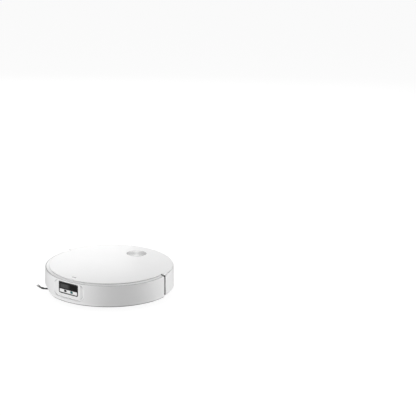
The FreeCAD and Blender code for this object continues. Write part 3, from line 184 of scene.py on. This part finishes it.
def glossy(name, colour, roughness, ripple, depth, **values):
    """Glossy moulded shell: a slow drift of colour, the ripple of its skin, and faint hairline wipes."""
    finish = Finish(name, **values)
    drift = finish.spread(finish.noise(0.08, 3), 0.0, 1.0)
    dark = tuple(c * 0.985 for c in colour[:3]) + (1,)
    finish.coloured(finish.blended(drift, dark, colour))
    wipes = finish.noise(6 * MM, 4, (1, 6, 2), 0.8)
    finish.roughened(finish.spread(wipes, roughness * 0.92, roughness * 1.08, 0.3, 0.7))
    finish.bumped(finish.noise(ripple, 1), depth)
    return finish.material


def white_shell(name):
    """Glossy white shell, with shade painted into its colour: a little greyer down its seams, along its
    sharp edges and near its bottom.
    """
    finish = Finish(name, Coat_Weight=0.2, Coat_Roughness=0.14)
    drift = finish.spread(finish.noise(0.08, 3), 0.0, 1.0)
    white = finish.blended(drift, grey(0.79), grey(0.80))
    # Painted shade: the white turns grey down seams and gaps, where little light reaches.
    seam_shaded = finish.blended(finish.crevices(2.4 * MM), white, grey(0.22))
    # Painted shade: the lowest couple of millimetres of the wall turn greyer, standing in for shadow near
    # the floor.
    painted_base_shade = finish.math("MULTIPLY", finish.place("Z", 15.2 * MM, 13.4 * MM), 0.62)
    shaded = finish.blended(painted_base_shade, seam_shaded, grey(0.20))
    # Painted shade: a thin grey line along sharp edges, standing in for the darker shading of rounded
    # edges.
    painted_edge_line = finish.math("MULTIPLY", finish.edges(1.6 * MM), 0.5)
    finish.coloured(finish.blended(painted_edge_line, shaded, grey(0.30)))
    wipes = finish.noise(6 * MM, 4, (1, 6, 2), 0.8)
    finish.roughened(finish.spread(wipes, 0.29, 0.35, 0.3, 0.7))
    finish.bumped(finish.noise(7 * MM, 1), 0.010 * MM)
    return finish.material


def window_tint(name):
    """Smoked glass, with a dim paler patch painted over one end."""
    finish = Finish(name, Specular_IOR_Level=0.25, Coat_Weight=0.15, Coat_Roughness=0.05)
    low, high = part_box("window_glass")
    middle = (low.x + high.x) / 2
    begins = finish.place("X", low.x + 1.5 * MM, low.x + 4 * MM)
    fades = finish.place("X", middle + 7 * MM, middle - 5 * MM)
    over = finish.place("Z", low.z + 1 * MM, low.z + 3 * MM)
    under = finish.place("Z", high.z - 1.5 * MM, high.z - 4 * MM)
    across = finish.math("MULTIPLY", begins, fades)
    seen = finish.math("MULTIPLY", across, finish.math("MULTIPLY", over, under))
    cloud = finish.spread(finish.noise(3 * MM, 3), 0.7, 1.0)
    # The paler patch is painted into the glass's colour, clear of its edges and clouded a little.
    finish.coloured(finish.blended(finish.math("MULTIPLY", seen, cloud), grey(0.003), grey(0.075)))
    finish.roughened(finish.spread(finish.noise(6 * MM, 4, (1, 6, 2), 0.8), 0.06, 0.08, 0.3, 0.7))
    finish.bumped(finish.noise(9 * MM, 1), 0.003 * MM)
    return finish.material


def spun_cap(name):
    """Turned metal: fine rings about the cap's axis, and highlights that stretch across them."""
    low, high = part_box("turret_cap")
    middle = (low + high) / 2
    finish = Finish(name, Metallic=1.0, Anisotropic=0.75)
    fine = finish.rings(0.35 * MM, middle.x, middle.y)
    broad = finish.rings(2.3 * MM, middle.x, middle.y)
    cloud = finish.noise(9 * MM, 4)
    tone = finish.blended(finish.spread(cloud, 0.0, 1.0), grey(0.27), grey(0.32))
    finish.coloured(finish.blended(finish.math("MULTIPLY", fine, 0.25), tone, grey(0.20)))
    finish.roughened(finish.spread(broad, 0.27, 0.34, 0.0, 1.0))
    around = finish.node("ShaderNodeTangent", direction_type="RADIAL", axis="Z").outputs["Tangent"]
    finish.join(around, finish.shader.inputs["Tangent"])
    finish.bumped(fine, 0.004 * MM)
    return finish.material


def dusty_tread(name):
    """Ribbed rubber, with a little floor dust in patches."""
    finish = Finish(name)
    dust = finish.spread(finish.noise(5 * MM, 6, twist=0.5), 0.0, 1.0, 0.45, 0.75)
    finish.coloured(finish.blended(dust, grey(0.022), grey(0.055, 0.04)))
    finish.roughened(finish.spread(dust, 0.62, 0.88, 0.0, 1.0))
    grain = finish.bumped(finish.noise(0.5 * MM, 3), 0.05 * MM)
    finish.bumped(finish.waves(1.4 * MM, "X"), 0.06 * MM, grain)
    return finish.material


def circuit(name):
    """Solder mask over copper tracks, with small pads and printed-on parts of other tones."""
    finish = Finish(name)
    tracks = finish.spread(finish.waves(2.2 * MM, "X", 6.0), 0.0, 1.0, 0.45, 0.55)
    pads = finish.spread(finish.cells(4 * MM), 1.0, 0.0, 0.10, 0.14)
    board = finish.blended(tracks, (0.008, 0.070, 0.030, 1), (0.014, 0.115, 0.048, 1))
    finish.coloured(finish.blended(pads, board, (0.55, 0.50, 0.38, 1)))
    finish.roughened(finish.spread(tracks, 0.30, 0.42, 0.0, 1.0))
    finish.bumped(tracks, 0.05 * MM)
    return finish.material


def shrink_wrap(name):
    """Thin film pulled over cells, with creases."""
    finish = Finish(name, Coat_Weight=0.4, Coat_Roughness=0.1)
    creases = finish.noise(9 * MM, 5, (1, 3, 3), 1.2)
    finish.coloured(finish.blended(finish.spread(creases, 0.0, 1.0), (0.016, 0.055, 0.18, 1),
                                   (0.026, 0.085, 0.26, 1)))
    finish.roughened(finish.spread(creases, 0.2, 0.36))
    finish.bumped(creases, 0.35 * MM)
    return finish.material


def clear_plastic(name):
    """Tinted see-through plastic, faintly hazed inside."""
    finish = Finish(name, Transmission_Weight=0.75, IOR=1.49)
    haze = finish.noise(12 * MM, 5)
    finish.coloured(finish.blended(finish.spread(haze, 0.0, 1.0), grey(0.34), grey(0.44)))
    finish.roughened(finish.spread(haze, 0.06, 0.2))
    finish.bumped(finish.noise(8 * MM, 1), 0.02 * MM)
    return finish.material


def pleated(name):
    finish = Finish(name)
    fibres = finish.noise(0.5 * MM, 5, (1, 1, 3), 1.0)
    finish.coloured(finish.blended(finish.spread(fibres, 0.0, 1.0), grey(0.62, 0.03), grey(0.78, 0.02)))
    finish.roughened(finish.spread(fibres, 0.82, 0.95))
    finish.bumped(fibres, 0.08 * MM)
    return finish.material


def microfibre(name):
    """Looped pile in two tones of grey, in stripes, with painted shade in the hollows between the loops.
    """
    finish = Finish(name, Sheen_Weight=0.4, Sheen_Roughness=0.5)
    loops = finish.cells(1.5 * MM)
    stripes = finish.spread(finish.waves(9 * MM, "X", 0.4), 0.0, 1.0, 0.4, 0.6)
    tone = finish.blended(stripes, (0.20, 0.22, 0.245, 1), (0.33, 0.355, 0.385, 1))
    # Painted shade: darker colour away from the loop tops, in the hollows of the bumped pile.
    painted_hollow_shade = finish.spread(loops, 0.0, 1.0, 0.15, 0.8)
    finish.coloured(finish.blended(painted_hollow_shade, tone, (0.13, 0.145, 0.165, 1)))
    finish.roughened(finish.spread(loops, 0.86, 0.97, 0.0, 1.0))
    soft = finish.bumped(finish.noise(0.5 * MM, 4), 0.15 * MM)
    finish.bumped(finish.math("SUBTRACT", 1.0, loops), 0.5 * MM, soft)
    return finish.material


def nylon(name):
    """Filaments that differ a little from one to the next."""
    finish = Finish(name)
    strands = finish.noise(0.8 * MM, 3, (1, 1, 1), 0.4)
    finish.coloured(finish.blended(finish.spread(strands, 0.0, 1.0), grey(0.045), grey(0.15, 0.02)))
    finish.roughened(finish.spread(strands, 0.38, 0.6))
    finish.bumped(finish.noise(0.3 * MM, 2), 0.02 * MM)
    return finish.material


def make_materials():
    """A Blender material for each of the record's material slots."""
    polished = {"Coat_Weight": 0.6, "Coat_Roughness": 0.05}
    return {
        "gloss_white": white_shell("gloss_white"),
        "satin_black": moulded("satin_black", grey(0.022), 0.48, 0.5 * MM, 0.02 * MM),
        "satin_grey": moulded("satin_grey", grey(0.16), 0.45, 0.5 * MM, 0.02 * MM),
        "piano_black": glossy("piano_black", grey(0.012), 0.12, 5 * MM, 0.004 * MM, **polished),
        "smoked_glass": window_tint("smoked_glass"),
        "dark_lens": glossy("dark_lens", (0.010, 0.010, 0.014, 1), 0.06, 4 * MM, 0.001 * MM, **polished),
        "teal_lens": glossy("teal_lens", (0.030, 0.120, 0.120, 1), 0.06, 4 * MM, 0.001 * MM, **polished),
        "spun_metal": spun_cap("spun_metal"),
        "tread": dusty_tread("tread"),
        "soft_rubber": moulded("soft_rubber", grey(0.035), 0.62, 0.4 * MM, 0.03 * MM),
        "spring_steel": moulded("spring_steel", grey(0.45), 0.30, 0.3 * MM, 0.004 * MM, Metallic=1.0),
        "plated": moulded("plated", (0.72, 0.66, 0.52, 1), 0.24, 0.4 * MM, 0.004 * MM, Metallic=1.0),
        "cloth": microfibre("cloth"),
        "bristle": nylon("bristle"),
        "board_green": circuit("board_green"),
        "wrap_blue": shrink_wrap("wrap_blue"),
        "clear_smoke": clear_plastic("clear_smoke"),
        "pleated_paper": pleated("pleated_paper"),
        "fan_grey": moulded("fan_grey", grey(0.24), 0.4, 0.5 * MM, 0.02 * MM),
    }


def finish_nodes(materials):
    """Gives each CAD node the material of its slot in the record."""
    for part in frame["record"]["subparts"]:
        mesh = frame["nodes"][part["node"]].data
        mesh.materials.clear()
        mesh.materials.append(materials[part["material_slot"]])


# Finer pieces, each in the place of a CAD node or beside it

class Shape:
    """Points and faces gathered for one piece."""

    def __init__(self):
        self.points = []
        self.faces = []

    def tube(self, path, radii, sides=6):
        """A closed round bar along a path, with a radius for each of its points."""
        first = len(self.points)
        across = None
        for i, here in enumerate(path):
            along = (path[min(i + 1, len(path) - 1)] - path[max(i - 1, 0)]).normalized()
            across = along.orthogonal() if across is None else across - along * across.dot(along)
            across.normalize()
            up = along.cross(across)
            for k in range(sides):
                turn = math.tau * k / sides
                self.points.append(here + (across * math.cos(turn) + up * math.sin(turn)) * radii[i])
        for i in range(len(path) - 1):
            start = first + i * sides
            for k in range(sides):
                after = (k + 1) % sides
                self.faces.append((start + k, start + after, start + sides + after, start + sides + k))
        last = first + (len(path) - 1) * sides
        self.faces.append(tuple(first + k for k in reversed(range(sides))))
        self.faces.append(tuple(last + k for k in range(sides)))

    def turned(self, profile, centre, count):
        """A closed solid turned about an upright axis; the profile runs from axis to axis."""
        first = len(self.points)
        self.points.append(centre + UP * profile[0][1])
        for radius, height in profile[1:-1]:
            for k in range(count):
                turn = math.tau * k / count
                out = Vector((math.cos(turn), math.sin(turn), 0))
                self.points.append(centre + out * radius + UP * height)
        self.points.append(centre + UP * profile[-1][1])
        last = len(self.points) - 1
        for k in range(count):
            after = (k + 1) % count
            self.faces.append((first, first + 1 + after, first + 1 + k))
            for ring in range(len(profile) - 3):
                start = first + 1 + ring * count
                self.faces.append((start + k, start + after, start + count + after, start + count + k))
            self.faces.append((last, last - count + k, last - count + after))

    def piece(self, name, body, slot, materials):
        """The gathered shape as a smooth piece that rides on a body."""
        mesh = bpy.data.meshes.new(name)
        mesh.from_pydata(self.points, [], self.faces)
        mesh.polygons.foreach_set("use_smooth", [True] * len(mesh.polygons))
        mesh.materials.append(materials[slot])
        made = bpy.data.objects.new(name, mesh)
        bpy.context.scene.collection.objects.link(made)
        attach(made, body)
        return made


def smooth_line(corners, steps):
    """Points along a smooth line through the corners."""
    ends = [corners[0] * 2 - corners[1], *corners, corners[-1] * 2 - corners[-2]]
    line = []
    for i in range(1, len(ends) - 2):
        a, b, c, d = ends[i - 1:i + 3]
        for k in range(steps):
            t = k / steps
            line.append((b * 2 + (c - a) * t + (a * 2 - b * 5 + c * 4 - d) * t ** 2
                         + (b * 3 - a - c * 3 + d) * t ** 3) / 2)
    return line + [corners[-1]]


# The middle lines of the brush's stem and tuft from the hub's axis, in millimetres, as in the CAD source.
STEM_LINE = ((-4, -3.5, 7.2), (-14, -13.5, 7.0), (-26, -19.8, 6.2), (-39.5, -19.6, 5.2))
TUFT_LINE = ((-35.5, -20.3, 5.4), (-46, -16.8, 4.7), (-57.5, -10.2, 3.4), (-68.5, -4, 2.0))
FILAMENTS = 46
FILAMENT_RADIUS = 0.25 * MM
TUFT_ROOT = 1.9 * MM
COLLAR_RIBS = (2.2, 2.7, 2.8, 2.45, 2.8, 2.45, 2.8, 2.7, 2.3)


def brush_line(corners, turn, steps):
    """A line given about the side brush's axis in millimetres, smoothed, turned and put in place."""
    low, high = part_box("side_brush_hub")
    hub = (low + high) / 2
    spin = Matrix.Rotation(turn, 3, "Z")
    at = Vector((hub.x, hub.y, 0))
    return smooth_line([at + spin @ (Vector(c) * MM) for c in corners], steps)


def filament_path(line, near, far, reach):
    """A path along part of a line, which leaves it by 'near' at its root and by 'far' at its tip."""
    last = len(line) - 1
    path = []
    for i in range(last + 1):
        share = i / last
        spot = min(int(share * reach * last), last - 1)
        part_way = share * reach * last - spot
        middle = line[spot].lerp(line[spot + 1], part_way)
        along = (line[spot + 1] - line[spot]).normalized()
        side = along.cross(UP).normalized()
        off = near.lerp(far, share ** 1.8)
        path.append(middle + side * off.x + UP * off.y)
    return path


def make_side_brush(materials):
    """Two fans of filaments, each gripped by a ribbed collar at the end of its stem."""
    random.seed(11)
    tufts, collars = Shape(), Shape()
    for turn in (0, math.pi):
        line = brush_line(TUFT_LINE, turn, 4)
        for _ in range(FILAMENTS):
            angle = random.uniform(0, math.tau)
            away = math.sqrt(random.random())
            near = Vector((math.cos(angle), math.sin(angle))) * away * TUFT_ROOT
            far = Vector((math.cos(angle) * 4.8 * away, math.sin(angle) * 2.4 * away + 1.0)) * MM
            reach = random.uniform(0.90, 1.0)
            path = filament_path(line, near, far, reach)
            count = len(path)
            tufts.tube(path, [FILAMENT_RADIUS * (1 - 0.65 * i / count) for i in range(count)], 4)
        grip = brush_line(STEM_LINE, turn, 12)[-len(COLLAR_RIBS):]
        collars.tube(grip, [radius * MM for radius in COLLAR_RIBS], 14)
    made = tufts.piece("side_brush_filaments", "side_brush", "bristle", materials)
    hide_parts("side_brush_bristles")
    collars.piece("side_brush_collars", "side_brush", "satin_black", materials)


ROLLER_ROWS = 6
ROLLER_TUFTS = 32
ROLLER_FOOT = 9.4 * MM


def make_roller_bristles(materials):
    """Rows of short tufts between the roller's rubber blades."""
    random.seed(5)
    low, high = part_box("roller_blades")
    middle = (low + high) / 2
    rows = Shape()
    for row in range(ROLLER_ROWS):
        turn = math.tau * (row + 0.5) / ROLLER_ROWS
        out = Vector((0, math.cos(turn), math.sin(turn)))
        for k in range(ROLLER_TUFTS):
            x = low.x + 3 * MM + (high.x - low.x - 6 * MM) * k / (ROLLER_TUFTS - 1)
            lean = Vector((random.uniform(-0.8, 0.8) * MM, 0, 0))
            foot = Vector((x, middle.y, middle.z)) + out * ROLLER_FOOT
            tip = foot + out * random.uniform(8.6, 9.2) * MM + lean
            rows.tube([foot, foot.lerp(tip, 0.5), tip], [0.7 * MM, 0.8 * MM, 0.95 * MM], 6)
    rows.piece("roller_bristles", "main_brush", "bristle", materials)


# Half section of a slack mop pad, from its middle underneath to its middle on top.
PAD_EDGE = ((58.5, 0.7), (60.2, 1.5), (60.8, 2.7), (60.2, 3.9), (58.5, 4.6))
PAD_BASE = 0.7
PAD_TOP = 4.6
PAD_SPOKES = 6
PAD_COUNT = 96
PAD_SWELL = 1.3 * MM
PAD_LOWEST = 0.15 * MM
PAD_HIGHEST = 5.3 * MM
PAD_STITCHES = 288


def pad_profile():
    under = [(radius, PAD_BASE) for radius in range(4, 56, 5)]
    over = [(radius, PAD_TOP) for radius in range(54, 3, -5)]
    whole = [(0, PAD_BASE), *under, *PAD_EDGE, *over, (0, PAD_TOP)]
    return [(radius * MM, height * MM) for radius, height in whole]


def puff(pad, centre, cap):
    """Swells a slack pad between its sewn seams by a cloth simulation, each point by at most 'cap'."""
    mesh = pad.data
    rest = [v.co.copy() for v in mesh.vertices]
    seams = pad.vertex_groups.new(name="seams")
    for vertex in mesh.vertices:
        spot = vertex.co - centre
        turn = math.atan2(spot.y, spot.x) / math.tau * PAD_SPOKES % 1
        radius = math.hypot(spot.x, spot.y)
        sewn = min(turn, 1 - turn) < 0.07 or radius < 8 * MM or radius > 59.5 * MM
        if sewn:
            seams.add([vertex.index], 1.0, "REPLACE")
    cloth = pad.modifiers.new("Swelling", "CLOTH")
    cloth.settings.use_pressure = True
    cloth.settings.uniform_pressure_force = 6
    cloth.settings.mass = 0.05
    cloth.settings.vertex_group_mass = "seams"
    cloth.settings.effector_weights.gravity = 0
    for moment in range(1, 21):
        bpy.context.scene.frame_set(moment)
    seen = pad.evaluated_get(bpy.context.evaluated_depsgraph_get()).to_mesh()
    moved = [v.co.copy() for v in seen.vertices]
    pad.modifiers.remove(cloth)
    bpy.context.scene.frame_set(1)
    for vertex, old, new in zip(mesh.vertices, rest, moved):
        step = new - old
        if step.length > cap:
            step *= cap / step.length
        vertex.co = old + step
        vertex.co.z = min(max(vertex.co.z, PAD_LOWEST), PAD_HIGHEST)


def make_mop_pads(materials):
    """Quilted pads of looped cloth, each with a bound edge and a fringe of loops."""
    random.seed(3)
    for side in ("left", "right"):
        low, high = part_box("mop_pad_" + side)
        centre = Vector(((low.x + high.x) / 2, (low.y + high.y) / 2, 0))
        body = "mop_" + side
        quilt = Shape()
        quilt.turned(pad_profile(), centre, PAD_COUNT)
        pad = quilt.piece("mop_pad_quilt_" + side, body, "cloth", materials)
        puff(pad, centre, PAD_SWELL)
        finer = pad.modifiers.new("Finer", "SUBSURF")
        finer.levels = 1
        finer.render_levels = 1
        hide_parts("mop_pad_" + side)
        binding, fringe = Shape(), Shape()
        for k in range(PAD_STITCHES):
            turn = math.tau * k / PAD_STITCHES
            out = Vector((math.cos(turn), math.sin(turn), 0))
            along = Vector((-out.y, out.x, 0))
            knot = centre + out * 61.0 * MM + UP * 2.7 * MM
            up = UP * 1.3 * MM
            lean = along * 0.5 * MM
            binding.tube([knot - up - lean, knot + out * 0.5 * MM, knot + up + lean],
                         [0.45 * MM, 0.62 * MM, 0.45 * MM], 6)
            spread = random.uniform(0.2, 1.0) * MM
            root = centre + out * 59.5 * MM + UP * 1.4 * MM + along * random.uniform(-0.5, 0.5) * MM
            bend = root + out * 1.2 * MM - UP * 0.5 * MM
            end = root + out * (1.2 * MM + spread) - UP * MM
            fringe.tube([root, bend, end], [0.5 * MM, 0.55 * MM, 0.3 * MM], 5)
        for name, shape in (("mop_binding_", binding), ("mop_fringe_", fringe)):
            shape.piece(name + side, body, "cloth", materials)


# Studio

FLOOR_GREY = 0.45
FLOOR_GLOW = 0.93
FLOOR_HALF = 60
WORLD_LIGHT = 0.12

# The camera's bearing, its downward tilt and its lens in millimetres; then how far it is to the right
# of the robot, towards the viewer and up, in metres
VIEW_AZIMUTH = math.radians(39.5)
VIEW_PITCH = math.radians(17.91)
VIEW_LENS = 432.7
VIEW_ASIDE = 0.268
VIEW_BACK = 12.887
VIEW_HEIGHT = 4.401
TO_RIGHT = Vector((math.cos(VIEW_AZIMUTH), math.sin(VIEW_AZIMUTH), 0))
TO_VIEWER = Vector((math.sin(VIEW_AZIMUTH), -math.cos(VIEW_AZIMUTH), 0))


def make_camera():
    """A long lens from the front right, above the robot, which stands left of the middle of the frame."""
    data = bpy.data.cameras.new("Camera")
    data.lens = VIEW_LENS
    data.clip_end = 200
    camera = bpy.data.objects.new("Camera", data)
    camera.location = TO_RIGHT * VIEW_ASIDE + TO_VIEWER * VIEW_BACK + UP * VIEW_HEIGHT
    look = -TO_VIEWER * math.cos(VIEW_PITCH) - UP * math.sin(VIEW_PITCH)
    camera.rotation_mode = "QUATERNION"
    camera.rotation_quaternion = look.to_track_quat("-Z", "Y")
    bpy.context.scene.collection.objects.link(camera)
    bpy.context.scene.camera = camera


def make_floor():
    """A broad pale floor. The camera sees it as the brightly lit sweep of a studio, with a faint contact
    shadow, and the robot sees an ordinary light grey."""
    mesh = bpy.data.meshes.new("floor")
    corners = [(x * FLOOR_HALF, y * FLOOR_HALF, 0) for x, y in ((-1, -1), (1, -1), (1, 1), (-1, 1))]
    mesh.from_pydata(corners, [], [(0, 1, 2, 3)])
    floor = bpy.data.objects.new("floor", mesh)
    bpy.context.scene.collection.objects.link(floor)
    paper = Finish("floor_paper", Emission_Color=(1, 1, 1, 1), Emission_Strength=0.0)
    seen = paper.node("ShaderNodeLightPath").outputs["Is Camera Ray"]
    grain = paper.blended(paper.noise(0.4, 3), grey(FLOOR_GREY * 0.96), grey(FLOOR_GREY))
    paper.coloured(paper.blended(seen, grain, grey(0.12)))
    paper.join(paper.math("MULTIPLY", seen, FLOOR_GLOW), paper.shader.inputs["Emission Strength"])
    paper.roughened(0.9)
    mesh.materials.append(paper.material)


# Each soft light: how far right of the robot, towards the viewer and up, in metres; its width and
# height; and its power in watts. All face the middle of the robot.
LIGHTS = {
    "overhead": ((-0.1, 0.0, 1.6), (0.8, 0.8), 2.05),
    "back_high": ((0.1, -1.2, 1.3), (1.3, 1.0), 5.6),
    "left_high": ((-1.4, 0.2, 1.0), (1.0, 0.9), 6.5),
    "left_near_low": ((-1.0, 1.6, 0.3), (0.9, 0.5), 9.45),
    "left_near_side": ((-1.6, 0.8, 0.5), (0.6, 0.6), 12.2),
    "right_low": ((1.9, 0.2, 0.3), (1.0, 0.5), 23.15),
    "right_back": ((1.6, -0.8, 0.5), (1.0, 0.8), 10.1),
    "back": ((0.1, -1.9, 0.6), (1.6, 0.7), 6.5),
    "back_middle": ((-0.2, -1.9, 0.62), (0.5, 0.5), 0.86),
}


def make_lights():
    centre = UP * 0.03
    for name, (place, extent, power) in LIGHTS.items():
        data = bpy.data.lights.new(name, "AREA")
        data.shape = "RECTANGLE"
        data.size = extent[0]
        data.size_y = extent[1]
        data.energy = power
        light = bpy.data.objects.new(name, data)
        aside, near, high = place
        light.location = TO_RIGHT * aside + TO_VIEWER * near + UP * high
        light.rotation_mode = "QUATERNION"
        light.rotation_quaternion = (centre - light.location).to_track_quat("-Z", "Y")
        light.visible_camera = False
        bpy.context.scene.collection.objects.link(light)


def make_world():
    """An even grey room, which the camera sees as white."""
    world = bpy.data.worlds.new("World")
    world.use_nodes = True
    tree = world.node_tree
    background = tree.nodes["Background"]
    background.inputs["Color"].default_value = (1, 1, 1, 1)
    seen = tree.nodes.new("ShaderNodeLightPath").outputs["Is Camera Ray"]
    bright = tree.nodes.new("ShaderNodeMapRange")
    bright.inputs["To Min"].default_value = WORLD_LIGHT
    bright.inputs["To Max"].default_value = 1.0
    tree.links.new(seen, bright.inputs["Value"])
    tree.links.new(bright.outputs["Result"], background.inputs["Strength"])
    bpy.context.scene.world = world
    bpy.context.scene.view_settings.view_transform = "Standard"


make_camera()
make_floor()
make_lights()
make_world()
finishes = make_materials()
finish_nodes(finishes)
make_side_brush(finishes)
make_roller_bristles(finishes)
make_mop_pads(finishes)
